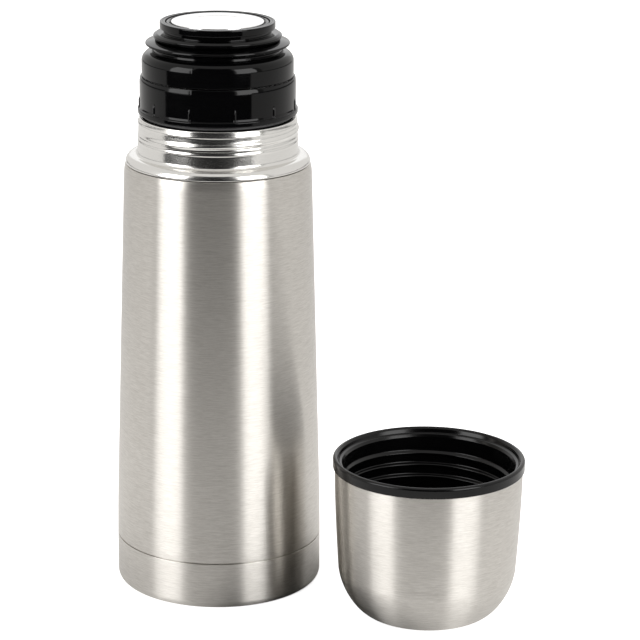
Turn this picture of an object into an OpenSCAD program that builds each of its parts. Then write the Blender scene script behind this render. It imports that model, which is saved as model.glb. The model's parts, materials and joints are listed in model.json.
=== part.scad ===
// Vacuum flask with a push-button stopper and a drinking cup that stands beside it.
// Units are millimetres. +Z is up and the origin is the centre of the flask's flat base.
// The flask, its stopper and its button share the Z axis. The cup has its own axis.

/* [Body] */
// Outer radius of the flask at its base
base_r = 35; // [34:0.1:36]
// Height of the seam between the base cover and the brushed body
seam_z = 16.1; // [15:0.1:18]
// Radius lost for each millimetre of height above the lower bend
body_taper = 0.0295; // [0.025:0.0005:0.031]
// Height at which the brushed body ends and the polished neck begins
shoulder_z = 147; // [146:0.5:148]
// Thickness of the steel sheet
sheet = 0.5; // [0.4:0.05:0.6]
// Radial gap of the vacuum between the two walls
vacuum_gap = 3.5; // [3:0.1:4]

/* [Neck] */
// Outer radius of the polished neck between its threads
neck_r = 26.9; // [26.8:0.1:27]
// Height of the rolled rim of the neck
rim_z = 162.8; // [162.5:0.1:163]
// Inner radius of the neck that the stopper screws into
mouth_r = 25.2; // [25.1:0.05:25.3]
// Height gained in one turn by every thread
lead = 4.2; // [4:0.1:4.4]

/* [Stopper] */
// Outer radius of the lower band of the stopper
skirt_r = 26; // [25.8:0.1:26.2]
// Outer radius of the upper band of the stopper
cover_r = 25.25; // [25:0.05:25.4]
// Number of small upright ribs round the foot of the lower band
rib_count = 11; // [8:1:16]
// Height of the line between the two bands
band_z = 176.3; // [176:0.1:177]
// Height of the top of the collar around the button
collar_z = 194.6; // [194:0.1:195]
// Outer radius of the collar around the button
collar_r = 19.15; // [19:0.05:19.3]
// Outer radius of the push button
button_r = 17; // [16.9:0.05:17.05]
// Radius of the metal disc in the button
disc_r = 15.4; // [15:0.1:15.6]

/* [Valve] */
// Radius of the valve stem
stem_r = 3; // [2.8:0.1:3.2]
// Radius of the opening in the floor of the plug
seat_r = 9; // [8.5:0.1:9.5]
// Wire diameter of the return spring
wire_d = 0.8; // [0.6:0.1:1]
// Number of turns of the return spring
spring_turns = 5; // [3:1:5]

/* [Cup] */
// Distance of the cup's axis to the right of the flask's axis
cup_x = 71.2; // [69:0.1:80]
// Distance of the cup's axis in front of the flask's axis
cup_front = 31.3; // [20:0.1:40]
// Height of the cup to the top of its lip
cup_h = 54.2; // [53:0.1:55]
// Outer radius of the steel shell of the cup below the lip
cup_r = 31.45; // [31.3:0.05:31.6]
// Outer radius of the steel shell where its rounded bottom begins
cup_low_r = 29.9; // [29.7:0.1:30.1]
// Height of the rounded bottom of the cup
dome_h = 15.8; // [14:0.1:18]
// Radius of the flat foot of the cup
foot_r = 19.9; // [17:0.1:20.5]

/* [Hidden] */
$fn = 96;

// Gap between pieces that touch or slide in the real flask
clear = 0.3;
// Gap between pieces that are pressed or glued together
glue = 0.05;
// Radial clearance of the stem in its guide
run = 0.08;

// Body outline: straight below bend_low, tapered above bend_high, curved between
bend_low = 12;
bend_high = 38;
function body_r(z) =
  z <= bend_low ? base_r :
  z <= bend_high ? base_r - body_taper * pow(z - bend_low, 2) / (2 * (bend_high - bend_low)) :
  base_r - body_taper * (z - (bend_low + bend_high) / 2);
shell_low_z = 5;
shell_round_z = shoulder_z - 4;
shell_top_r = body_r(shell_round_z) - 0.55;
skirt_in_base_r = base_r - sheet - 2 * glue;
vacuum_plate_z = 8.5;
liner_bottom_z = 13;
liner_corner = 9;
liner_neck_z = shoulder_z + 1;
function liner_r(z) = body_r(z) - sheet - vacuum_gap;

// Neck heights
neck_wall = 0.6;
thread_h = 0.5;
neck_thread_z = rim_z - 5.8;
mouth_thread_z = 151.5;
mouth_crest_r = mouth_r - 0.8;

// Stopper heights and radii
plug_r = mouth_crest_r - clear;
plug_wall = 1.8;
plug_thread_z = mouth_thread_z + lead / 2;
plug_low_z = 144;
plug_top_z = band_z - 0.6;
skirt_low_z = rim_z + 1.3;
rib_start = -174;
guide_z = skirt_low_z + 5;
guide_t = 2;
cam_low_z = guide_z + guide_t;
cam_top_z = collar_z - 6.9;
cam_r = 10;
rotor_z = 182;
rotor_h = 4;
spring_r = 5.2;
button_top_z = collar_z - 0.2;
button_plate_z = collar_z - 2.6;
valve_top_z = plug_low_z - clear;

// Cup: the lower edge of its lip, and how square its rounded bottom is (2 is an ellipse)
lip_low_z = cup_h - 3.65;
cup_bulge = 1.6;

// Points on a circular arc about [cx, cy], from angle a0 to a1, in n steps
function arc(cx, cy, r, a0, a1, n = 6) =
  [for (i = [0:n]) let (a = a0 + (a1 - a0) * i / n) [cx + r * cos(a), cy + r * sin(a)]];

// Points on a quarter of a rounded box corner with half-axes rx and ry
function corner(cx, cy, rx, ry, a0, a1, n = 8, p = 2) =
  [for (i = [0:n]) let (a = a0 + (a1 - a0) * i / n)
    [cx + rx * sign(cos(a)) * pow(abs(cos(a)), 2 / p), cy + ry * sign(sin(a)) * pow(abs(sin(a)), 2 / p)]];

function reversed(list) = [for (i = [len(list) - 1:-1:0]) list[i]];

// A solid of revolution about Z from an outline of [radius, height] points
module turned(outline) {
  rotate_extrude() polygon(outline);
}

// A plain ring from radius r0 to r1 and height z0 to z1
module ring(r0, r1, z0, z1) {
  rotate_extrude() translate([r0, z0]) square([r1 - r0, z1 - z0]);
}

// A right-handed ridge that runs round a wall of radius wall_r and fades out at both ends.
// It stands out to crest_r, inside or outside the wall, and is rooted in the wall.
module helix_ridge(wall_r, crest_r, turns, z0, width, start = 0, seg = 36) {
  out = sign(crest_r - wall_r);
  root_r = wall_r - 0.2 * out;
  low_r = wall_r - 0.1 * out;
  n = round(turns * seg);
  fade = seg / 5;
  points = [for (i = [0:n]) let (
      a = start + 360 * i / seg,
      z = z0 + lead * i / seg,
      k = min(1, i / fade, (n - i) / fade),
      tip_r = low_r + k * (crest_r - low_r),
      tip = width * 0.2)
    each [for (q = [[root_r, -width / 2], [tip_r, -tip], [tip_r, tip], [root_r, width / 2]])
      [q[0] * cos(a), q[0] * sin(a), z + q[1]]]];
  sides = [for (i = [0:n - 1], j = [0:3]) let (a = 4 * i + j, b = 4 * i + (j + 1) % 4)
    each [[a, b, b + 4], [a, b + 4, a + 4]]];
  faces = concat(sides, [[3, 2, 1, 0], [for (j = [0:3]) 4 * n + j]]);
  polyhedron(points, out > 0 ? faces : [for (f = faces) reversed(f)]);
}

// ---- Flask ----

module outer_shell() {
  low = seam_z + 0.4;
  heights = [for (i = [0:5]) low + (bend_high - low) * i / 5];
  rounding = [for (i = [0:4]) let (t = i / 4)
    [body_r(shell_round_z) - 0.55 * t * t, shell_round_z + 4 * t]];
  outer = concat([for (z = heights) [body_r(z), z]], rounding);
  inner = [for (p = outer) [p[0] - sheet, p[1]]];
  color("gainsboro") turned(concat(
    [[skirt_in_base_r, shell_low_z], [skirt_in_base_r, low]], outer,
    reversed(inner), [[skirt_in_base_r - sheet, low + 0.6], [skirt_in_base_r - sheet, shell_low_z]]));
}

module neck_collar() {
  ledge_z = shoulder_z + 0.3;
  ledge_r = shell_top_r - 0.05;
  foot_z = shoulder_z + 4.2;
  round_w = ledge_r - neck_r - 1.1;
  color("silver") {
    turned(concat(
      [[shell_top_r - sheet - 0.1, shell_round_z], [shell_top_r - sheet - 0.1, ledge_z], [ledge_r, ledge_z]],
      corner(ledge_r - round_w, ledge_z + 0.2, round_w, foot_z - ledge_z - 1.2, 0, 90),
      arc(neck_r + 1.1, foot_z + 0.1, 1.1, 270, 180, 4),
      [[neck_r, rim_z - 1.1]],
      arc(neck_r - 0.55, rim_z - 0.55, 0.55, 0, 180, 8),
      [[neck_r - 1.1, rim_z - 0.9], [neck_r - neck_wall, rim_z - 1.2], [neck_r - neck_wall, foot_z],
        [ledge_r - round_w, ledge_z + 1.9], [ledge_r - 1.1, ledge_z],
        [shell_top_r - 2 * sheet - 0.1, shell_round_z]]));
    helix_ridge(neck_r, neck_r + thread_h, 1, neck_thread_z, 2.2, 200);
  }
}

module inner_liner() {
  top_r = liner_r(shoulder_z - 9);
  neck_out = mouth_r + neck_wall;
  heights = [for (z = [liner_bottom_z + liner_corner:16:shoulder_z - 12]) z];
  r0 = liner_r(heights[0]);
  outer = concat(
    [[0, liner_bottom_z]],
    arc(r0 - liner_corner, liner_bottom_z + liner_corner, liner_corner, 270, 360, 6),
    [for (i = [1:len(heights) - 1]) [liner_r(heights[i]), heights[i]]],
    [[top_r, shoulder_z - 8], [neck_out, liner_neck_z], [neck_out, rim_z - 0.4]]);
  inner = concat(
    [[mouth_r, rim_z - 0.4], [mouth_r, liner_neck_z + 0.3], [top_r - sheet, shoulder_z - 7.8]],
    [for (i = [len(heights) - 1:-1:1]) [liner_r(heights[i]) - sheet, heights[i]]],
    arc(r0 - liner_corner, liner_bottom_z + liner_corner, liner_corner - sheet, 360, 270, 6),
    [[0, liner_bottom_z + sheet]]);
  color("darkgray") {
    turned(concat(outer, inner));
    helix_ridge(mouth_r, mouth_crest_r, 1.75, mouth_thread_z, 1.6);
  }
}

module radiation_shield() {
  low = liner_bottom_z + liner_corner + 3;
  high = shoulder_z - 14;
  foil = 0.2;
  off = 1;
  color("peru") turned([
    [liner_r(low) + off, low], [liner_r(low) + off + foil, low],
    [liner_r(bend_high) + off + foil, bend_high], [liner_r(high) + off + foil, high],
    [liner_r(high) + off, high], [liner_r(bend_high) + off, bend_high]]);
}

module vacuum_base() {
  r = skirt_in_base_r - sheet - glue;
  hole_r = 1.5;
  color("darkgray") turned([
    [hole_r, vacuum_plate_z - 1], [6, vacuum_plate_z - 1], [8, vacuum_plate_z], [r - sheet, vacuum_plate_z],
    [r - sheet, shell_low_z], [r, shell_low_z], [r, vacuum_plate_z + sheet],
    [7.8, vacuum_plate_z + sheet], [5.8, vacuum_plate_z - 1 + sheet], [hole_r, vacuum_plate_z - 1 + sheet]]);
}

module vacuum_seal() {
  z = vacuum_plate_z - 1;
  color("dimgray") turned([
    [0, z - 1], [3, z - 1], [3.4, z - glue], [1.4, z - glue], [1.4, z + 0.4], [0, z + 0.4]]);
}

module getter() {
  color("slategray") translate([14, 0, vacuum_plate_z + sheet + glue]) difference() {
    cylinder(r = 5, h = 1.2);
    translate([0, 0, 0.7]) cylinder(r = 4, h = 1);
  }
}

module base_cover() {
  corner_r = 2.6;
  groove_r = 24;
  groove_w = 3;
  color("lightgray") turned(concat(
    [[0, 0], [groove_r - groove_w, 0], [groove_r - 1, 0.9], [groove_r + 1, 0.9], [groove_r + groove_w, 0]],
    arc(base_r - corner_r, corner_r, corner_r, 270, 360, 6),
    [[base_r, seam_z], [base_r - sheet, seam_z]],
    arc(base_r - corner_r, corner_r, corner_r - sheet, 360, 270, 6),
    [[groove_r + groove_w, sheet], [groove_r + 1, 0.9 + sheet], [groove_r - 1, 0.9 + sheet],
      [groove_r - groove_w, sheet], [0, sheet]]));
}

// ---- Stopper ----

module neck_gasket() {
  low = rim_z + 0.2;
  high = low + 0.8;
  inner = plug_r + clear;
  outer = mouth_r + 0.1;
  color("gray") turned([
    [inner, low], [outer - 0.2, low], [outer, low + 0.2],
    [outer, high - 0.2], [outer - 0.2, high], [inner, high]]);
}

// The windows let the drink out above the gasket, into the ring-shaped channel under the skirt
module stopper_plug() {
  window_r = 1.6;
  window_z = skirt_low_z + 2.3;
  color("black") {
    difference() {
      turned([
        [seat_r, plug_low_z], [plug_r - 3, plug_low_z], [plug_r, plug_low_z + 3], [plug_r, plug_top_z],
        [plug_r - plug_wall, plug_top_z], [plug_r - plug_wall, plug_low_z + 4], [plug_r - 4, plug_low_z + 2],
        [seat_r, plug_low_z + 2]]);
      for (a = [0:45:315]) rotate([0, 0, a]) translate([0, 0, window_z])
        rotate([0, 90, 0]) cylinder(r = window_r, h = plug_r + 1);
    }
    helix_ridge(plug_r, mouth_crest_r + 0.5, 1.5, plug_thread_z, 1.4);
  }
}

module stopper_skirt() {
  lip_r = skirt_r + 0.65;
  lip_h = 1.6;
  channel_r = skirt_r - 0.7;
  channel_z = skirt_low_z + 4.2;
  rib_h = 3.8;
  rib_w = 0.9;
  rib_out = 0.35;
  color("#1b1b1b") {
    turned(concat(
      [[channel_r, skirt_low_z], [lip_r - 0.4, skirt_low_z]],
      arc(lip_r - 0.4, skirt_low_z + 0.4, 0.4, 270, 360, 3),
      arc(lip_r - 0.5, skirt_low_z + lip_h - 0.5, 0.5, 0, 90, 3),
      [[skirt_r, skirt_low_z + lip_h + 0.3]],
      corner(skirt_r - 0.4, band_z - 2.2, 0.4, 2.2, 0, 90),
      [[plug_r + glue, band_z], [plug_r + glue, channel_z + 1.2], [channel_r, channel_z]]));
    for (k = [0:rib_count - 1]) rotate([0, 0, rib_start + 360 / rib_count * k])
      translate([skirt_r - 0.2, -rib_w / 2, skirt_low_z + lip_h - 0.2]) cube([rib_out + 0.2, rib_w, rib_h]);
  }
}

module stopper_cover() {
  low = band_z + 0.1;
  dome_r = 3.2;
  ring_z = band_z + 8.4;
  flange_r = cover_r - 1.3;
  bore_r = button_r + 2;
  wall = 1.8;
  color("#151515") turned(concat(
    [[cover_r - wall, low], [cover_r, low]],
    arc(cover_r - dome_r, ring_z - dome_r, dome_r, 0, 82, 8),
    [[cover_r - dome_r, ring_z], [cover_r - dome_r - 0.3, ring_z + 0.3],
      [cover_r - dome_r - 0.6, ring_z - 0.1],
      [cover_r - dome_r - 0.6, ring_z + 1.2], [flange_r - 0.4, ring_z + 2.2]],
    arc(flange_r - 0.4, ring_z + 2.6, 0.4, 270, 450, 5),
    [[bore_r + 0.8, ring_z + 4.1], [bore_r, ring_z + 4.1], [bore_r, ring_z - 2],
      [cover_r - dome_r - 0.5, ring_z - 2], [cover_r - wall, ring_z - dome_r - 1]]));
}

module button_collar() {
  bore_r = button_r + clear;
  sleeve_r = button_r + 2 - glue;
  flange_r = 21.3;
  flange_z = band_z + 12.6;
  flange_t = 1.9;
  recess_r = collar_r - 1.25;
  wall_z = collar_z - 2.3;
  low = band_z + 4;
  color("#181818") turned(concat(
    [[bore_r, low], [sleeve_r, low], [sleeve_r, flange_z], [flange_r - 0.5, flange_z]],
    arc(flange_r - 0.45, flange_z + 0.5, 0.45, 290, 360, 3),
    arc(flange_r - 0.5, flange_z + flange_t - 0.5, 0.5, 0, 90, 4),
    [[recess_r, flange_z + flange_t], [recess_r, wall_z], [collar_r - 0.3, wall_z]],
    arc(collar_r - 0.25, wall_z + 0.3, 0.25, 300, 360, 2),
    arc(collar_r - 0.4, collar_z - 0.4, 0.4, 0, 90, 4),
    [[bore_r + 0.3, collar_z], [bore_r, collar_z - 0.3]]));
}

module stem_guide() {
  r = plug_r - plug_wall - glue;
  hub_r = 6;
  hub_h = 4;
  vent_r = 3.5;
  color("dimgray") translate([0, 0, guide_z]) difference() {
    union() {
      cylinder(r = r, h = guide_t);
      translate([0, 0, -hub_h]) cylinder(r = hub_r, h = hub_h + 0.5);
    }
    translate([0, 0, -hub_h - 1]) cylinder(r = stem_r + run, h = hub_h + guide_t + 2);
    for (a = [0:60:300]) rotate([0, 0, a]) translate([16, 0, -1]) cylinder(r = vent_r, h = guide_t + 2);
  }
}

module cam_sleeve() {
  rib_t = 1;
  color("gray") union() {
    ring(cam_r - 0.8, cam_r, cam_low_z, cam_top_z);
    ring(cam_r - 0.1, cam_r + 2, cam_low_z, cam_low_z + 1.2);
    for (a = [0:45:315]) rotate([0, 0, a])
      translate([cam_r - 1.5, -rib_t / 2, cam_low_z + 2]) cube([1, rib_t, cam_top_z - cam_low_z - 2]);
  }
}

module return_spring() {
  wire_r = wire_d / 2;
  z0 = cam_low_z + clear + wire_r;
  z1 = rotor_z - clear - wire_r;
  seg = 24;
  sides = 8;
  n = spring_turns * seg;
  // How much flatter the end turns lie than the middle ones, from 0 to 1
  closing = 0.6;
  function height(t) = z0 + (z1 - z0) * (t - closing * sin(360 * t) / (2 * PI));
  points = [for (i = [0:n], j = [0:sides - 1]) let (
      a = 360 * i / seg, b = 360 * j / sides, r = spring_r + wire_r * cos(b))
    [r * cos(a), r * sin(a), height(i / n) + wire_r * sin(b)]];
  walls = [for (i = [0:n - 1], j = [0:sides - 1]) let (a = sides * i + j, b = sides * i + (j + 1) % sides)
    each [[a, b + sides, b], [a, a + sides, b + sides]]];
  color("lightsteelblue") polyhedron(points,
    concat(walls, [[for (j = [0:sides - 1]) j], [for (j = [sides - 1:-1:0]) sides * n + j]]));
}

module push_button() {
  wall = 1.5;
  rim_in = disc_r + 0.35;
  boss_r = 5;
  color("#202020") turned([
    [stem_r + glue, button_plate_z - 3], [boss_r, button_plate_z - 3], [boss_r, button_plate_z],
    [button_r - wall, button_plate_z], [button_r - wall, button_plate_z - 6.5],
    [button_r, button_plate_z - 6.5], [button_r, button_top_z - 0.5], [button_r - 0.3, button_top_z - 0.1],
    [button_r - 0.6, button_top_z], [rim_in, button_top_z - 0.5], [rim_in, button_plate_z + 1.2],
    [stem_r + glue, button_plate_z + 1.2]]);
}

module button_disc() {
  low = button_plate_z + 1.2 + glue;
  top = collar_z - 0.05;
  ring_r = 9.5;
  color("white") turned([
    [0, low], [disc_r - 0.2, low], [disc_r, low + 0.2], [disc_r, top - 0.3], [disc_r - 0.3, top],
    [ring_r + 0.6, top], [ring_r + 0.3, top - 0.2], [ring_r, top - 0.2], [0, top - 0.2]]);
}

module valve_stem() {
  color("gray") difference() {
    translate([0, 0, valve_top_z - 3]) cylinder(r = stem_r, h = button_plate_z + 1.15 - valve_top_z + 3);
    translate([0, 0, valve_top_z - 4]) cylinder(r = 1.2, h = 9);
  }
}

module valve_disc() {
  r = seat_r + 2.5;
  color("dimgray") turned([
    [stem_r + glue, valve_top_z - 2.6], [r - 0.6, valve_top_z - 2.6],
    [r, valve_top_z - 2], [r, valve_top_z - 1],
    [seat_r - 1.5, valve_top_z - 1], [seat_r - 2.5, valve_top_z + 0.8], [stem_r + glue, valve_top_z + 0.8]]);
}

module valve_seal() {
  r = seat_r + 2.4;
  color("whitesmoke") turned([
    [seat_r - 1.4, valve_top_z - 0.95], [r, valve_top_z - 0.95],
    [r, valve_top_z - 0.3], [r - 0.3, valve_top_z],
    [seat_r - 1.4, valve_top_z]]);
}

module latch_rotor() {
  r = cam_r - 1.5 - clear;
  tooth = 1.2;
  color("whitesmoke") difference() {
    union() {
      translate([0, 0, rotor_z]) cylinder(r = r - tooth, h = rotor_h);
      for (a = [22.5:90:292.5]) rotate([0, 0, a]) intersection() {
        translate([0, 0, rotor_z]) cylinder(r = r, h = rotor_h);
        translate([0, -1.2, rotor_z]) cube([r + 1, 2.4, rotor_h]);
      }
    }
    translate([0, 0, rotor_z - 1]) cylinder(r = stem_r + run, h = rotor_h + 2);
  }
}

// ---- Cup ----

// Outer radius of the cup's steel shell at height z above its rounded bottom
function cup_wall_r(z) = cup_low_r + (cup_r - cup_low_r) * sin(90 * (z - dome_h) / (cup_h - dome_h));
// Outline of the cup's outside, moved inwards by inset, from the middle of the foot to height top_z
function cup_outline(inset, top_z) = concat(
  [[0, inset]],
  corner(foot_r, dome_h, cup_low_r - foot_r - inset, dome_h - inset, 270, 360, 12, cup_bulge),
  [for (i = [1:5]) let (z = dome_h + (top_z - dome_h) * i / 5) [cup_wall_r(z) - inset, z]]);

module cup_shell() {
  top = lip_low_z + 0.8;
  color("gainsboro") translate([cup_x, -cup_front, 0])
    turned(concat(cup_outline(0, top), reversed(cup_outline(sheet, top))));
}

module cup_liner() {
  gap = sheet + glue;
  shell_top = lip_low_z + 0.8 + glue;
  lip_r = cup_r + 0.6;
  wall = 1.5;
  bore_r = 28.5;
  bore_low_z = 33;
  inside = cup_outline(gap + wall, bore_low_z - 4);
  color("#1a1a1a") translate([cup_x, -cup_front, 0]) {
    turned(concat(
      cup_outline(gap, shell_top),
      [[cup_wall_r(shell_top) + glue, shell_top], [cup_wall_r(lip_low_z) + glue, lip_low_z],
        [lip_r - 0.2, lip_low_z], [lip_r, lip_low_z + 0.3]],
      arc(lip_r - 1, cup_h - 1, 1, 0, 90, 5),
      [[bore_r + 1.6, cup_h - 0.8], [bore_r + 1.2, cup_h - 1.9], [bore_r + 0.5, cup_h - 2.1],
        [bore_r, cup_h - 2.8], [bore_r, bore_low_z]],
      reversed(inside)));
    helix_ridge(bore_r, neck_r + 0.3, 2.5, bore_low_z + 3, 2);
  }
}

outer_shell();
neck_collar();
inner_liner();
radiation_shield();
getter();
vacuum_base();
vacuum_seal();
base_cover();
neck_gasket();
stopper_plug();
stopper_skirt();
stopper_cover();
button_collar();
stem_guide();
cam_sleeve();
return_spring();
push_button();
button_disc();
valve_stem();
valve_disc();
valve_seal();
latch_rotor();
cup_shell();
cup_liner();
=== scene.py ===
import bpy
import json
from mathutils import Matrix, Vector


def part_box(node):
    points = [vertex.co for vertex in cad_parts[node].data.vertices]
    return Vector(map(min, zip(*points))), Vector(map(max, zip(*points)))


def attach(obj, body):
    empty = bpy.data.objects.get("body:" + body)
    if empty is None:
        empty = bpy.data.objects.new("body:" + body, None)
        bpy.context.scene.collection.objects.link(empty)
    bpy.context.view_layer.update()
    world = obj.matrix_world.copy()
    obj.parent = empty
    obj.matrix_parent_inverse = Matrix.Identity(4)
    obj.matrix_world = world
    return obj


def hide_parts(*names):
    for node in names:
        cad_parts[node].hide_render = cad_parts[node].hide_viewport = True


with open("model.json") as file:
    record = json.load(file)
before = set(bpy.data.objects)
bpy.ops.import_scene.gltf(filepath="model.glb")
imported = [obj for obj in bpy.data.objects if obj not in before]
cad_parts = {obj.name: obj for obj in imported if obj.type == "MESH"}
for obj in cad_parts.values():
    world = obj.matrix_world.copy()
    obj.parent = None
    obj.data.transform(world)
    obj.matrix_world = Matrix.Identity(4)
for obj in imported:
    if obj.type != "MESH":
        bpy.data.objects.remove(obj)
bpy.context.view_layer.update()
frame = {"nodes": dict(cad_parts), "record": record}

import json
import math

import bmesh
import bpy
from mathutils import Euler, Vector

# ---------------------------------------------------------------- sizes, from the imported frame

MM = 0.001


def size_of(node):
    """A node's lowest and highest corners at rest, in millimetres."""
    low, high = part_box(node)
    return [v / MM for v in low], [v / MM for v in high]


_, base_high = size_of("base_cover")
shell_low, shell_high = size_of("outer_shell")
_, collar_high = size_of("neck_collar")
skirt_low, skirt_high = size_of("stopper_skirt")
cover_low, cover_high = size_of("stopper_cover")
ring_low, ring_high = size_of("button_collar")
button_low, button_high = size_of("push_button")
disc_low, disc_high = size_of("button_disc")
gasket_low, gasket_high = size_of("neck_gasket")
cup_low, cup_high = size_of("cup_shell")
_, lip_high = size_of("cup_liner")

BASE_R = base_high[0]
SEAM_Z = base_high[2]
SHOULDER_Z = shell_high[2]
RIM_Z = collar_high[2]
LIP_Z = skirt_low[2]
BAND_Z = skirt_high[2]
TOP_Z = ring_high[2]
LEAD = 4.2
SHEET = 0.5
NECK_R = 26.9
SKIRT_R = 26.0
COVER_R = 25.25
BUTTON_R = button_high[0]
DISC_R = disc_high[0]
COLLAR_R = 19.15
CUP_CENTRE = ((cup_low[0] + cup_high[0]) / 2, (cup_low[1] + cup_high[1]) / 2)
CUP_H = lip_high[2]
CUP_R = 31.45
CUP_LOW_R = 29.9
DOME_H = 15.8
FOOT_R = 19.9
DOME_POWER = 1.6

# ---------------------------------------------------------------- mesh helpers

CORNER_STEPS = 5
SUPPORT = 0.12


def rounded(points):
    """An outline of (radius, height) points from (radius, height, rounding) corners, all in millimetres.

    A support point on each side of a rounded corner keeps the flat stretches flat in smooth shading.
    """
    loop = points[0][0] > 0 or points[-1][0] > 0
    out = []
    for i, point in enumerate(points):
        here = Vector(point[:2])
        radius = point[2] if len(point) > 2 else 0
        inside = loop or 0 < i < len(points) - 1
        if not inside or radius <= 0:
            out.append(tuple(here))
            continue
        back = Vector(points[i - 1][:2]) - here
        on = Vector(points[(i + 1) % len(points)][:2]) - here
        half = back.angle(on) / 2
        cut = min(radius / math.tan(half), 0.47 * back.length, 0.47 * on.length)
        start, end = here + back.normalized() * cut, here + on.normalized() * cut
        if back.length > 2 * (cut + SUPPORT):
            out.append(tuple(start + back.normalized() * SUPPORT))
        for step in range(CORNER_STEPS + 1):
            t = step / CORNER_STEPS
            out.append(tuple(start * (1 - t) ** 2 + here * 2 * t * (1 - t) + end * t ** 2))
        if on.length > 2 * (cut + SUPPORT):
            out.append(tuple(end + on.normalized() * SUPPORT))
    return out


def arc(centre_r, centre_z, radius, start, end, steps=10):
    """Points on an arc about (centre_r, centre_z), between two angles in degrees."""
    angles = [math.radians(start + (end - start) * i / steps) for i in range(steps + 1)]
    return [(centre_r + radius * math.cos(a), centre_z + radius * math.sin(a)) for a in angles]


def lathe(name, outline, body, material, node, centre=(0, 0), segments=256, shift=None):
    """Turns an outline round a vertical axis into one closed mesh and makes it stand for a CAD node.

    shift(angle, radius, height) may move a point in or out, for threads, ribs and grooves.
    """
    mesh = bmesh.new()
    rings = []
    for radius, height in outline:
        if radius < 1e-6:
            rings.append([mesh.verts.new((centre[0] * MM, centre[1] * MM, height * MM))])
            continue
        ring = []
        for k in range(segments):
            angle = 2 * math.pi * k / segments
            r = shift(angle, radius, height) if shift else radius
            x, y = centre[0] + r * math.cos(angle), centre[1] + r * math.sin(angle)
            ring.append(mesh.verts.new((x * MM, y * MM, height * MM)))
        rings.append(ring)
    pairs = list(zip(rings, rings[1:]))
    if outline[0][0] > 1e-6:
        pairs.append((rings[-1], rings[0]))
    for low, high in pairs:
        for k in range(segments):
            n = (k + 1) % segments
            quad = [low[k % len(low)], low[n % len(low)], high[n % len(high)], high[k % len(high)]]
            corners = [v for i, v in enumerate(quad) if v not in quad[:i]]
            if len(corners) > 2:
                mesh.faces.new(corners)
    bmesh.ops.recalc_face_normals(mesh, faces=mesh.faces)
    for face in mesh.faces:
        face.smooth = True
    data = bpy.data.meshes.new(name)
    mesh.to_mesh(data)
    mesh.free()
    piece = bpy.data.objects.new(name, data)
    bpy.context.scene.collection.objects.link(piece)
    data.materials.append(material)
    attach(piece, body)
    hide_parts(node)
    return piece


def stations(start, end, step):
    """Evenly spaced heights from one end to the other, upwards or downwards, about step apart."""
    count = max(1, round(abs(end - start) / step))
    return [start + (end - start) * i / count for i in range(count + 1)]


def thread(angle, height, first_z, turns, start, half_width):
    """Height, from 0 to 1, of a right-handed rolled ridge at a point, with both of its ends faded out."""
    turn = (angle - math.radians(start)) / (2 * math.pi)
    best = 0.0
    for k in range(-1, math.ceil(turns) + 1):
        along = (turn % 1) + k
        if not 0 <= along <= turns:
            continue
        off = abs(height - (first_z + LEAD * along))
        if off >= half_width:
            continue
        fade = min(1, along / 0.16, (turns - along) / 0.16)
        best = max(best, fade * 0.5 * (1 + math.cos(math.pi * off / half_width)))
    return best


# ---------------------------------------------------------------- material helpers


def new_material(name, **sockets):
    """A Principled material; returns it with its node tree and shader node."""
    material = bpy.data.materials.new(name)
    material.use_nodes = True
    tree = material.node_tree
    shader = tree.nodes["Principled BSDF"]
    for socket, value in sockets.items():
        shader.inputs[socket.replace("_", " ")].default_value = value
    return material, tree, shader


def noise(tree, scale, detail=3.0, rough=0.55, distortion=0.0):
    """Noise in the object's own metres; scale is (x, y, z) features for each metre."""
    coords = tree.nodes.new("ShaderNodeTexCoord")
    mapping = tree.nodes.new("ShaderNodeMapping")
    mapping.inputs["Scale"].default_value = scale
    texture = tree.nodes.new("ShaderNodeTexNoise")
    texture.inputs["Scale"].default_value = 1.0
    texture.inputs["Detail"].default_value = detail
    texture.inputs["Roughness"].default_value = rough
    texture.inputs["Distortion"].default_value = distortion
    tree.links.new(coords.outputs["Object"], mapping.inputs["Vector"])
    tree.links.new(mapping.outputs["Vector"], texture.inputs["Vector"])
    return texture.outputs["Fac"]


def remap(tree, value, low, high, from_low=0.3, from_high=0.7):
    """Maps a noise value to the range low to high."""
    node = tree.nodes.new("ShaderNodeMapRange")
    node.inputs["From Min"].default_value = from_low
    node.inputs["From Max"].default_value = from_high
    node.inputs["To Min"].default_value = low
    node.inputs["To Max"].default_value = high
    tree.links.new(value, node.inputs["Value"])
    return node.outputs["Result"]


def tint(tree, value, dark, light, from_low=0.3, from_high=0.7):
    """A colour between dark and light that follows a noise value."""
    ramp = tree.nodes.new("ShaderNodeValToRGB")
    ramp.color_ramp.elements[0].position = from_low
    ramp.color_ramp.elements[0].color = (*dark, 1)
    ramp.color_ramp.elements[1].position = from_high
    ramp.color_ramp.elements[1].color = (*light, 1)
    tree.links.new(value, ramp.inputs["Fac"])
    return ramp.outputs["Color"]


def add_up(tree, a, b, share):
    """a plus share times b."""
    node = tree.nodes.new("ShaderNodeMath")
    node.operation = "MULTIPLY_ADD"
    node.inputs[1].default_value = share
    tree.links.new(b, node.inputs[0])
    tree.links.new(a, node.inputs[2])
    return node.outputs["Value"]


def bump(tree, shader, value, distance, strength=1.0):
    """Raises the surface by value times distance metres."""
    node = tree.nodes.new("ShaderNodeBump")
    node.inputs["Distance"].default_value = distance
    node.inputs["Strength"].default_value = strength
    tree.links.new(value, node.inputs["Height"])
    tree.links.new(node.outputs["Normal"], shader.inputs["Normal"])


def round_tangent(tree, shader):
    """Lays the brushing round the vertical axis of the piece."""
    tangent = tree.nodes.new("ShaderNodeTangent")
    tangent.direction_type = "RADIAL"
    tangent.axis = "Z"
    tree.links.new(tangent.outputs["Tangent"], shader.inputs["Tangent"])


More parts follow.
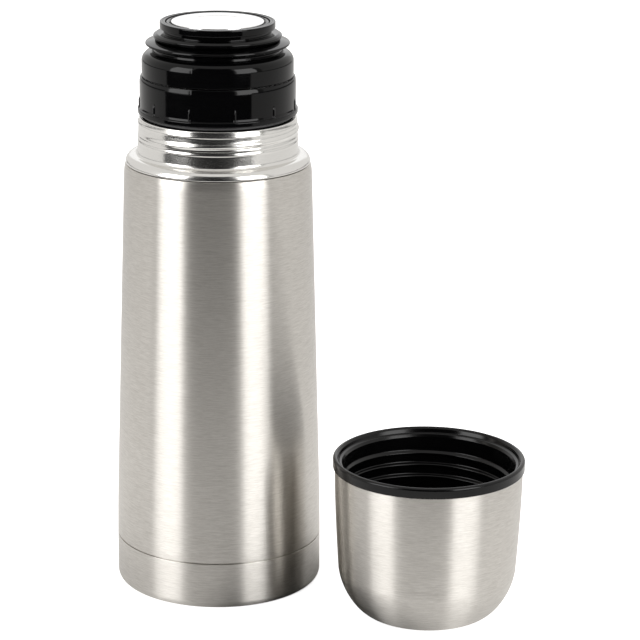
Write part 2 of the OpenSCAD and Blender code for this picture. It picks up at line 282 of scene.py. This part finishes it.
def brushed_steel(name, dark, light, rough, grain=2600.0):
    """Stainless steel brushed round the piece: long fine streaks, softer patches and handling haze."""
    material, tree, shader = new_material(name, Metallic=1.0, Anisotropic=0.97, Anisotropic_Rotation=0.25)
    round_tangent(tree, shader)
    streak = noise(tree, (75, 75, grain), detail=3.0, rough=0.6)
    fine = noise(tree, (110, 110, grain * 3.4), detail=2.0)
    haze = noise(tree, (38, 38, 26), detail=3.0)
    grain_value = add_up(tree, streak, fine, 0.5)
    scratch = noise(tree, (240, 240, grain * 1.3), detail=4.0, rough=0.8)
    tree.links.new(tint(tree, scratch, dark, light, 0.36, 0.64), shader.inputs["Base Color"])
    blend = add_up(tree, streak, haze, 0.6)
    tree.links.new(remap(tree, blend, rough[0], rough[1], 0.5, 1.1), shader.inputs["Roughness"])
    bump(tree, shader, grain_value, 0.000012, 0.6)
    return material


def polished_steel(name, colour, rough):
    """Bright polished steel with faint turning lines and smears."""
    material, tree, shader = new_material(name, Metallic=1.0, Base_Color=(*colour, 1), Anisotropic=0.3)
    round_tangent(tree, shader)
    lines = noise(tree, (20, 20, 4200), detail=2.0)
    smear = noise(tree, (70, 70, 120), detail=4.0, distortion=0.6)
    blend = add_up(tree, smear, lines, 0.35)
    tree.links.new(remap(tree, blend, rough[0], rough[1], 0.45, 0.95), shader.inputs["Roughness"])
    bump(tree, shader, lines, 0.000003, 0.5)
    return material


def moulded_plastic(name, colour, rough, texture=0.000006, grain=900.0, specular=0.5):
    """Moulded plastic: slight orange peel, fine rub marks and uneven gloss."""
    material, tree, shader = new_material(name, Specular_IOR_Level=specular)
    peel = noise(tree, (grain, grain, grain), detail=2.0)
    rub = noise(tree, (60, 60, 520), detail=5.0, distortion=0.4)
    patch = noise(tree, (55, 55, 55), detail=3.0)
    lighter = tuple(min(1, c * 1.5) for c in colour)
    tree.links.new(tint(tree, patch, colour, lighter), shader.inputs["Base Color"])
    blend = add_up(tree, patch, rub, 0.7)
    tree.links.new(remap(tree, blend, rough[0], rough[1], 0.55, 1.15), shader.inputs["Roughness"])
    bump(tree, shader, peel, texture, 0.5)
    return material


steel = brushed_steel("brushed_steel", (0.60, 0.575, 0.535), (0.745, 0.72, 0.68), (0.33, 0.40), 2300.0)
bright = polished_steel("polished_steel", (0.78, 0.77, 0.745), (0.15, 0.22))
inside_steel = brushed_steel("inner_steel", (0.50, 0.50, 0.49), (0.62, 0.62, 0.61), (0.30, 0.45), 1400.0)
foil = polished_steel("copper_foil", (0.86, 0.50, 0.32), (0.12, 0.3))
getter_alloy = moulded_plastic("getter_alloy", (0.16, 0.16, 0.17), (0.55, 0.8), 0.00002)
resin = moulded_plastic("seal_resin", (0.06, 0.06, 0.065), (0.4, 0.6))
gloss = moulded_plastic("gloss_black", (0.0006, 0.0006, 0.0007), (0.05, 0.12), 0.000004, 420.0, 0.24)
satin = moulded_plastic("satin_black", (0.0008, 0.0008, 0.0009), (0.13, 0.26), 0.00001, 900.0, 0.3)
disc_metal = polished_steel("disc_metal", (0.95, 0.95, 0.95), (0.14, 0.2))
rubber = moulded_plastic("silicone", (0.035, 0.035, 0.036), (0.45, 0.65), 0.00001)
white = moulded_plastic("white_plastic", (0.62, 0.61, 0.58), (0.35, 0.5))
wire = brushed_steel("spring_steel", (0.45, 0.46, 0.48), (0.6, 0.61, 0.63), (0.2, 0.34), 900.0)

BY_SLOT = {
    "brushed_steel": steel, "polished_steel": bright, "inner_steel": inside_steel, "copper_foil": foil,
    "getter_alloy": getter_alloy, "seal_resin": resin, "gloss_black": gloss, "satin_black": satin,
    "disc_metal": disc_metal, "silicone": rubber, "white_plastic": white, "spring_steel": wire,
}

# ---------------------------------------------------------------- flask

BEND_LOW, BEND_HIGH = 12.0, 38.0
TAPER = 0.0295


def body_r(z):
    """Outer radius of the body at height z, as in the CAD model."""
    if z <= BEND_LOW:
        return BASE_R
    if z <= BEND_HIGH:
        return BASE_R - TAPER * (z - BEND_LOW) ** 2 / (2 * (BEND_HIGH - BEND_LOW))
    return BASE_R - TAPER * (z - (BEND_LOW + BEND_HIGH) / 2)


def make_base_cover():
    corner = 2.6
    groove, width, deep = 24.0, 3.0, 0.9
    under = rounded([
        (0, 0), (groove - width, 0, 0.8), (groove - 1, deep, 0.6), (groove + 1, deep, 0.6),
        (groove + width, 0, 0.8), (BASE_R - corner, 0)])
    side = arc(BASE_R - corner, corner, corner, 270, 360, 12)
    top = rounded([(BASE_R, corner + 0.5), (BASE_R, SEAM_Z, 0.14), (BASE_R - SHEET, SEAM_Z, 0.1),
                   (BASE_R - SHEET, corner + 0.5)])[1:-1]
    inner = arc(BASE_R - corner, corner, corner - SHEET, 360, 270, 8)
    floor = rounded([
        (BASE_R - corner, SHEET), (groove + width, SHEET, 0.8), (groove + 1, deep + SHEET, 0.6),
        (groove - 1, deep + SHEET, 0.6), (groove - width, SHEET, 0.8), (0, SHEET)])
    outline = under[:-1] + side + top + inner + floor[1:]
    lathe("base_cover_steel", outline, "flask", steel, "base_cover", segments=320)


def make_outer_shell():
    skirt_r = BASE_R - SHEET - 0.1
    low = SEAM_Z + 0.4
    round_z = SHOULDER_Z - 4
    inward = 0.55
    heights = stations(low + 0.5, BEND_HIGH, 2.0)[1:] + stations(BEND_HIGH, round_z, 8.0)[1:]
    outer = [(body_r(z), z) for z in heights]
    outer += [(body_r(round_z) - inward * (i / 8) ** 2, round_z + 4 * i / 8) for i in range(1, 8)]
    top_r = body_r(round_z) - inward
    step = rounded([
        (skirt_r - SHEET, shell_low[2]), (skirt_r, shell_low[2], 0.1), (skirt_r, low, 0.1),
        (body_r(low), low, 0.16), (body_r(low + 0.5), low + 0.5)])[1:-1]
    edge = rounded([outer[-1], (top_r, SHOULDER_Z, 0.16), (top_r - SHEET, SHOULDER_Z, 0.1),
                    (top_r - SHEET + 0.05, SHOULDER_Z - 1)])[1:-1]
    inner = [(r - SHEET, z) for r, z in reversed(outer)]
    foot = [(skirt_r - SHEET, low + 0.6), (skirt_r - SHEET, shell_low[2])]
    lathe("outer_shell_steel", step + outer + edge + inner + foot, "flask", steel,
          "outer_shell", segments=320)


def make_neck():
    top_r = body_r(SHOULDER_Z - 4) - 0.55
    ledge_z, ledge_r = SHOULDER_Z + 0.3, top_r - 0.05
    foot_z = SHOULDER_Z + 4.2
    rise = foot_z - ledge_z - 1.2
    width = ledge_r - NECK_R - 1.1
    shoulder = [(ledge_r - width + width * math.cos(a), ledge_z + 0.2 + rise * math.sin(a))
                for a in [math.pi / 2 * i / 14 for i in range(15)]]
    hollow = arc(NECK_R + 1.1, foot_z + 0.1, 1.1, 270, 180, 8)
    # The wall leans in and carries fine rings for its reflections, where the CAD's wall is straight
    lean = 0.045
    wall = [(NECK_R - lean * (z - foot_z), z) for z in stations(foot_z + 0.2, RIM_Z - 1.3, 0.14)]
    rim_r = NECK_R - lean * (RIM_Z - foot_z)
    rim = arc(rim_r - 0.5, RIM_Z - 0.5, 0.5, 0, 180, 14)
    inside_r = NECK_R - 0.6
    rings = [(RIM_Z - 1.9, 0.13), (foot_z + 5.2, 0.1), (foot_z + 3.8, 0.13)]
    ring_half_width = 0.7
    thread_out = 0.52
    inner = [(NECK_R - 1.1, RIM_Z - 0.9), (inside_r, RIM_Z - 1.2), (inside_r, foot_z),
             (ledge_r - width, ledge_z + 1.9), (ledge_r - 1.1, ledge_z), (ledge_r - 1.1, SHOULDER_Z - 4)]
    seat = [(top_r - SHEET - 0.1, SHOULDER_Z - 4), (top_r - SHEET - 0.1, ledge_z), (ledge_r - 0.1, ledge_z)]

    def rolled(angle, r, z):
        if r < rim_r - 0.05 or r > NECK_R + 0.05 or z < foot_z or z > RIM_Z - 1.2:
            return r
        out = r + thread_out * thread(angle, z, first_z=RIM_Z - 5.8, turns=1.0, start=200, half_width=1.3)
        return out + sum(height * swell(abs(z - ring_z), ring_half_width) for ring_z, height in rings)

    outline = seat + shoulder + hollow[1:] + wall + rim + inner
    lathe("neck_collar_steel", outline, "flask", bright, "neck_collar",
          segments=384, shift=rolled)


# ---------------------------------------------------------------- stopper

RIB_COUNT = 11
RIB_FIRST = -84.0
RIB_OUT = 0.35
RIB_HALF_WIDTH = 0.6
PARTING_AT = math.radians(-17 - 90)
PARTING_HALF_WIDTH = 0.22
PARTING_OUT = 0.05


def around(angle, at, radius):
    """Distance round a wall between two angles."""
    return abs((angle - at + math.pi) % (2 * math.pi) - math.pi) * radius


def swell(distance, half_width):
    """A smooth bump, 1 in its middle and 0 from half_width outwards."""
    return 0.5 * (1 + math.cos(math.pi * distance / half_width)) if distance < half_width else 0.0


def parting_line(angle, r):
    """The fine raised line that the two halves of the mould leave on a wall."""
    return PARTING_OUT * swell(around(angle, PARTING_AT, r), PARTING_HALF_WIDTH)


def make_gasket():
    low, high = gasket_low[2], gasket_high[2]
    outer = gasket_high[0]
    inner = 24.4
    outline = rounded([(inner, low, 0.15), (outer - 0.2, low, 0.15), (outer, (low + high) / 2, 0.3),
                       (outer - 0.2, high, 0.15), (inner, high, 0.15)])
    lathe("neck_gasket_ring", outline, "gasket", rubber, "neck_gasket")


def make_skirt():
    lip_r = SKIRT_R + 0.65
    inner = 24.15
    wall_z = LIP_Z + 3.2
    brow_w, brow_h = 0.4, 2.2
    rib_low, rib_high = LIP_Z + 1.55, LIP_Z + 5.4
    foot = rounded([
        (inner, LIP_Z, 0.1), (lip_r, LIP_Z, 0.35), (lip_r, LIP_Z + 1.55, 0.4),
        (SKIRT_R + 0.12, LIP_Z + 1.75, 0.25), (SKIRT_R, LIP_Z + 2.4, 0.4), (SKIRT_R, wall_z)])[:-1]
    wall = [(SKIRT_R, z) for z in stations(wall_z, BAND_Z - brow_h, 0.4)]
    brow = [(SKIRT_R - brow_w + brow_w * math.cos(a), BAND_Z - brow_h + brow_h * math.sin(a))
            for a in [math.pi / 2 * i / 16 for i in range(1, 17)]]
    outline = foot + wall + brow + [(SKIRT_R - 0.6, BAND_Z), (inner, BAND_Z)]

    def ribbed(angle, r, z):
        if r < SKIRT_R - 0.45:
            return r
        out = r + parting_line(angle, r)
        if rib_low < z < rib_high:
            ends = min(1, (z - rib_low) / 0.3, (rib_high - z) / 0.8)
            for k in range(RIB_COUNT):
                at = math.radians(RIB_FIRST - 90 + 360 / RIB_COUNT * k)
                out = max(out, r + RIB_OUT * ends * swell(around(angle, at, SKIRT_R), RIB_HALF_WIDTH))
        return min(out, lip_r)

    lathe("stopper_skirt_plastic", outline, "stopper", gloss, "stopper_skirt",
          segments=1024, shift=ribbed)


def make_cover():
    low = cover_low[2]
    ring_z = BAND_Z + 8.4
    dome = 3.2
    flange_r = COVER_R - 1.3
    bore = BUTTON_R + 2
    top = cover_high[2]
    wall = 1.8
    shoulder = arc(COVER_R - dome, ring_z - dome, dome, 0, 84, 12)
    outline = rounded([(COVER_R - wall, low, 0.1), (COVER_R, low, 0.5), (COVER_R, ring_z - dome - 0.3)])
    outline = outline[:-1] + shoulder + rounded([
        shoulder[-1], (COVER_R - dome - 0.15, ring_z + 0.25, 0.15),
        (COVER_R - dome - 0.5, ring_z + 0.25, 0.15), (COVER_R - dome - 0.6, ring_z - 0.1, 0.1),
        (COVER_R - dome - 0.7, ring_z + 1.2, 0.4),
        (flange_r - 0.3, ring_z + 2.2, 0.25), (flange_r, ring_z + 2.45, 0.2),
        (flange_r - 0.05, ring_z + 2.95, 0.3), (bore + 0.9, top - 0.05, 0.3), (bore, top - 0.05, 0.1),
        (bore, ring_z - 2, 0.1),
        (COVER_R - dome - 0.5, ring_z - 2, 0.3), (COVER_R - wall, ring_z - dome - 1, 0.3),
        (COVER_R - wall, low)])[1:-1]

    def parted(angle, r, z):
        return r + parting_line(angle, r) if r > COVER_R - 1.2 and z < ring_z - 1 else r

    lathe("stopper_cover_plastic", outline, "stopper", gloss, "stopper_cover",
          segments=1024, shift=parted)


def make_button_collar():
    bore = BUTTON_R + 0.3
    sleeve = BUTTON_R + 1.95
    flange_r = 21.3
    flange_z = BAND_Z + 12.6
    flange_top = flange_z + 1.9
    recess_r = COLLAR_R - 1.25
    wall_z = TOP_Z - 2.3
    outline = rounded([
        (bore, ring_low[2], 0.1), (sleeve, ring_low[2], 0.1), (sleeve, flange_z, 0.3),
        (flange_r - 0.35, flange_z + 0.05, 0.3), (flange_r, flange_z + 0.75, 0.6),
        (flange_r, flange_top - 0.7, 0.6), (flange_r - 1.1, flange_top, 0.7), (recess_r, flange_top, 0.2),
        (recess_r, wall_z, 0.2), (COLLAR_R - 0.1, wall_z, 0.2), (COLLAR_R, wall_z + 0.35, 0.2),
        (COLLAR_R, TOP_Z, 0.34), (BUTTON_R + 1.25, TOP_Z, 0.1), (BUTTON_R + 1.15, TOP_Z - 0.18, 0.08),
        (BUTTON_R + 1.0, TOP_Z - 0.05, 0.08), (bore, TOP_Z - 0.05, 0.22)])
    lathe("button_collar_plastic", outline, "stopper", gloss, "button_collar", segments=320)


def make_button():
    wall = 1.5
    plate = TOP_Z - 2.6
    top = button_high[2]
    stem = 3.05
    rim = DISC_R + 0.35
    outline = rounded([
        (stem, plate - 3, 0.1), (5.0, plate - 3, 0.2), (5.0, plate, 0.3), (BUTTON_R - wall, plate, 0.3),
        (BUTTON_R - wall, button_low[2], 0.2), (BUTTON_R, button_low[2], 0.2), (BUTTON_R, top - 0.1, 0.3),
        (rim + 0.45, top, 0.25), (rim, top - 0.45, 0.15), (rim, plate + 1.2, 0.1), (stem, plate + 1.2, 0.1)])
    lathe("push_button_plastic", outline, "button", gloss, "push_button", segments=256)


def make_disc():
    top = disc_high[2]
    ring = 9.5
    outline = rounded([
        (0, disc_low[2]), (DISC_R - 0.05, disc_low[2], 0.15), (DISC_R, top, 0.3), (ring + 0.5, top, 0.3),
        (ring + 0.2, top - 0.14, 0.3), (ring, top - 0.18, 0.2), (0, top - 0.18)])
    lathe("button_disc_metal", outline, "button", disc_metal, "button_disc", segments=256)


# ---------------------------------------------------------------- cup


def cup_r(z):
    """Outer radius of the cup's steel wall above its rounded bottom."""
    return CUP_LOW_R + (CUP_R - CUP_LOW_R) * math.sin(math.pi / 2 * (z - DOME_H) / (CUP_H - DOME_H))


def cup_outline(inset, top, steps=22):
    """Outside of the cup moved in by inset, from the middle of the foot up to a height."""
    width, rise = CUP_LOW_R - FOOT_R - inset, DOME_H - inset
    points = [(0, inset), (FOOT_R * 0.6, inset), (FOOT_R * 0.9, inset)]
    for i in range(steps + 1):
        a = math.pi / 2 * i / steps
        points.append((FOOT_R + width * math.sin(a) ** (2 / DOME_POWER),
                       DOME_H - rise * math.cos(a) ** (2 / DOME_POWER)))
    return points + [(cup_r(z) - inset, z) for z in stations(DOME_H, top, 3.0)[1:]]


def make_cup_shell():
    top = CUP_H - 2.85
    outline = cup_outline(0, top)[:-1]
    edge = rounded([outline[-1], (cup_r(top), top, 0.12), (cup_r(top) - SHEET, top, 0.12),
                    (cup_r(top) - SHEET, top - 2)])[1:-1]
    inner = cup_outline(SHEET, top - 3)[::-1]
    lathe("cup_shell_steel", outline + edge + inner, "cup", steel, "cup_shell",
          centre=CUP_CENTRE, segments=320)


def make_cup_liner():
    lip_low_z = CUP_H - 3.65
    shell_top = lip_low_z + 0.85
    gap = SHEET + 0.05
    wall = 1.5
    lip_r = CUP_R + 0.59
    bore = 28.5
    bore_low = 33.0
    thread_in = 1.05
    lip = rounded([
        (cup_r(shell_top) - gap, shell_top), (cup_r(shell_top) + 0.05, shell_top, 0.05),
        (cup_r(lip_low_z) + 0.06, lip_low_z, 0.05), (lip_r, lip_low_z, 0.3), (lip_r, CUP_H - 0.4, 0.9),
        (lip_r - 1.2, CUP_H, 0.7), (bore + 1.7, CUP_H - 0.75, 0.5), (bore + 1.35, CUP_H - 1.9, 0.3),
        (bore + 0.55, CUP_H - 2.15, 0.25), (bore, CUP_H - 3.0, 0.3), (bore, CUP_H - 4.0)])[1:-1]
    bore_wall = [(bore, z) for z in stations(CUP_H - 4.0, bore_low, 0.16)]

    def threaded(angle, r, z):
        if r > bore + 0.02 or not bore_low - 0.1 < z < CUP_H - 2.5:
            return r
        return r - thread_in * thread(angle, z, first_z=bore_low + 3, turns=2.6, start=0, half_width=1.0)

    outline = cup_outline(gap, shell_top)[:-1] + lip + bore_wall + cup_outline(gap + wall, bore_low - 4)[::-1]
    lathe("cup_liner_plastic", outline, "cup", satin, "cup_liner", centre=CUP_CENTRE,
          segments=384, shift=threaded)


for make in (make_base_cover, make_outer_shell, make_neck, make_gasket, make_skirt, make_cover,
             make_button_collar, make_button, make_disc, make_cup_shell, make_cup_liner):
    make()

# CAD nodes that stay as they are take the material of their slot
for part in frame["record"]["subparts"]:
    node = frame["nodes"].get(part["node"])
    if node is not None:
        for holder in node.material_slots:
            holder.material = BY_SLOT[part["material_slot"]]

# ---------------------------------------------------------------- stage, light and camera


def make_floor():
    """A plain pale floor that lights the scene a little, so that it stays even. Gloss doesn't mirror it."""
    bpy.ops.mesh.primitive_grid_add(x_subdivisions=8, y_subdivisions=8, size=14)
    floor = bpy.context.object
    floor.name = "floor"
    material, tree, shader = new_material("floor", Base_Color=(0.9, 0.9, 0.9, 1), Roughness=0.9)
    shader.inputs["Emission Color"].default_value = (1, 1, 1, 1)
    shader.inputs["Emission Strength"].default_value = 0.75
    floor.data.materials.append(material)
    floor.visible_glossy = False
    floor.visible_shadow = False


def make_world(strength):
    world = bpy.data.worlds.new("studio")
    world.use_nodes = True
    world.node_tree.nodes["Background"].inputs["Color"].default_value = (1, 0.985, 0.965, 1)
    world.node_tree.nodes["Background"].inputs["Strength"].default_value = strength
    bpy.context.scene.world = world


def make_softbox(name, azimuth, distance, width, low, high, power):
    """An upright rectangular light that faces the flask; the azimuth is 0 in front and 90 to the right."""
    light = bpy.data.lights.new(name, "AREA")
    light.shape = "RECTANGLE"
    light.size, light.size_y = width, high - low
    light.energy = power
    piece = bpy.data.objects.new(name, light)
    bpy.context.scene.collection.objects.link(piece)
    a = math.radians(azimuth)
    piece.location = (distance * math.sin(a), -distance * math.cos(a), (low + high) / 2)
    piece.rotation_euler = (math.pi / 2, 0, a)


def make_flag(name, azimuth_low, azimuth_high, distance, low, high, shade):
    """A curved card, dark or pale, that only gloss sees: it fills a stretch of the reflections."""
    steps = 12
    mesh = bmesh.new()
    rows = []
    for z in (low, high):
        row = []
        for i in range(steps + 1):
            a = math.radians(azimuth_low + (azimuth_high - azimuth_low) * i / steps)
            row.append(mesh.verts.new((distance * math.sin(a), -distance * math.cos(a), z)))
        rows.append(row)
    for i in range(steps):
        mesh.faces.new([rows[0][i], rows[0][i + 1], rows[1][i + 1], rows[1][i]])
    data = bpy.data.meshes.new(name)
    mesh.to_mesh(data)
    mesh.free()
    card = bpy.data.objects.new(name, data)
    bpy.context.scene.collection.objects.link(card)
    material, tree, shader = new_material(name, Base_Color=(0, 0, 0, 1), Roughness=1.0)
    shader.inputs["Specular IOR Level"].default_value = 0
    shader.inputs["Emission Color"].default_value = (*shade, 1)
    shader.inputs["Emission Strength"].default_value = 1.0
    data.materials.append(material)
    card.visible_camera = False
    card.visible_diffuse = False
    card.visible_shadow = False


def pool(tree, centre, radius):
    """1 at a centre on the floor, falling to 0 at a radius, in metres."""
    coords = tree.nodes.new("ShaderNodeTexCoord")
    mapping = tree.nodes.new("ShaderNodeMapping")
    mapping.inputs["Location"].default_value = (-centre[0] / radius, -centre[1] / radius, 0)
    mapping.inputs["Scale"].default_value = (1 / radius, 1 / radius, 0)
    gradient = tree.nodes.new("ShaderNodeTexGradient")
    gradient.gradient_type = "SPHERICAL"
    tree.links.new(coords.outputs["Object"], mapping.inputs["Vector"])
    tree.links.new(mapping.outputs["Vector"], gradient.inputs["Vector"])
    return gradient.outputs["Fac"]


def shaded(tree, light, place, low, share):
    """light dimmed by share where place is over low, with a soft edge."""
    dim = tree.nodes.new("ShaderNodeMapRange")
    dim.interpolation_type = "SMOOTHSTEP"
    dim.inputs["From Min"].default_value = 0.0
    dim.inputs["From Max"].default_value = low
    dim.inputs["To Min"].default_value = 1.0
    dim.inputs["To Max"].default_value = 1.0 - share
    tree.links.new(place, dim.inputs["Value"])
    times = tree.nodes.new("ShaderNodeMath")
    times.operation = "MULTIPLY"
    tree.links.new(light, times.inputs[0])
    tree.links.new(dim.outputs["Result"], times.inputs[1])
    return times.outputs["Value"]


def make_table_with_painted_shadow(radius, strength):
    """A pale disc at floor height that only gloss sees, with painted shadow: its glow is dimmed under the
    flask, the cup and between them.
    """
    steps = 96
    mesh = bmesh.new()
    ring = [mesh.verts.new((radius * math.cos(2 * math.pi * i / steps),
                            radius * math.sin(2 * math.pi * i / steps), -0.001)) for i in range(steps)]
    mesh.faces.new(ring)
    data = bpy.data.meshes.new("table")
    mesh.to_mesh(data)
    mesh.free()
    card = bpy.data.objects.new("table", data)
    bpy.context.scene.collection.objects.link(card)
    material, tree, shader = new_material("table", Base_Color=(0, 0, 0, 1), Roughness=1.0)
    shader.inputs["Specular IOR Level"].default_value = 0
    shader.inputs["Emission Color"].default_value = (1, 0.985, 0.965, 1)
    full = tree.nodes.new("ShaderNodeValue")
    full.outputs[0].default_value = strength
    cup = [v * MM for v in CUP_CENTRE]
    gap = [v * 0.55 for v in cup]
    # Painted shadow: the disc's glow is dimmed under the flask, between the flask and the cup, and under the
    # cup, standing in for the shade they would cast on the table as seen in reflections.
    light = shaded(tree, full.outputs[0], pool(tree, (0, 0), 0.105), 0.6, 0.34)
    light = shaded(tree, light, pool(tree, gap, 0.058), 0.5, 0.97)
    light = shaded(tree, light, pool(tree, cup, 0.048), 0.5, 0.25)
    tree.links.new(light, shader.inputs["Emission Strength"])
    data.materials.append(material)
    card.visible_camera = False
    card.visible_diffuse = False
    card.visible_shadow = False


def make_camera():
    data = bpy.data.cameras.new("camera")
    data.sensor_width = 36
    data.lens = 155.23
    camera = bpy.data.objects.new("camera", data)
    bpy.context.scene.collection.objects.link(camera)
    pitch_down, roll = 0.289023, 0.008
    camera.location = (0.034535, -0.9, 0.359482)
    camera.rotation_mode = "QUATERNION"
    tilt = Euler((math.pi / 2 - pitch_down, 0, 0)).to_quaternion()
    camera.rotation_quaternion = tilt @ Euler((0, 0, roll)).to_quaternion()
    bpy.context.scene.camera = camera


# The studio, in metres and in degrees of azimuth. Under SPLIT_Z it is dark in front of the flask.
SPLIT_Z = 0.06
DARK_LEFT, DARK_RIGHT = -80, 52
SOFTBOX_DISTANCE, SOFTBOX_TOP = 1.25, 1.3
CARD_DISTANCE = 1.2
STRIP_DISTANCE = 1.19
STRIP_LOW, STRIP_HIGH = 0.05, 0.12

make_floor()
make_world(0.83)
make_softbox("softbox_left", -56.5, SOFTBOX_DISTANCE, 0.72, SPLIT_Z, SOFTBOX_TOP, 10.4)
make_softbox("softbox_right", 46, SOFTBOX_DISTANCE, 0.71, SPLIT_Z, SOFTBOX_TOP, 10.0)
make_flag("flag_low", DARK_LEFT, DARK_RIGHT, CARD_DISTANCE, -0.9, SPLIT_Z, (0.02, 0.02, 0.02))
make_flag("flag_centre", -38, 27, CARD_DISTANCE, SPLIT_Z, 1.9, (0.01, 0.01, 0.01))
make_flag("flag_right", 62, 71, CARD_DISTANCE, SPLIT_Z, 1.2, (0.3, 0.3, 0.28))
make_flag("strip_right", DARK_RIGHT, 150, STRIP_DISTANCE, STRIP_LOW, STRIP_HIGH, (0.06, 0.06, 0.06))
make_flag("strip_left", -150, DARK_LEFT, STRIP_DISTANCE, STRIP_LOW, STRIP_HIGH, (0.06, 0.06, 0.06))
make_flag("card_back", 158, 202, CARD_DISTANCE, 0.3, 1.1, (1.15, 1.15, 1.15))
make_table_with_painted_shadow(0.28, 1.0)
make_camera()
bpy.context.scene.view_settings.view_transform = "Standard"
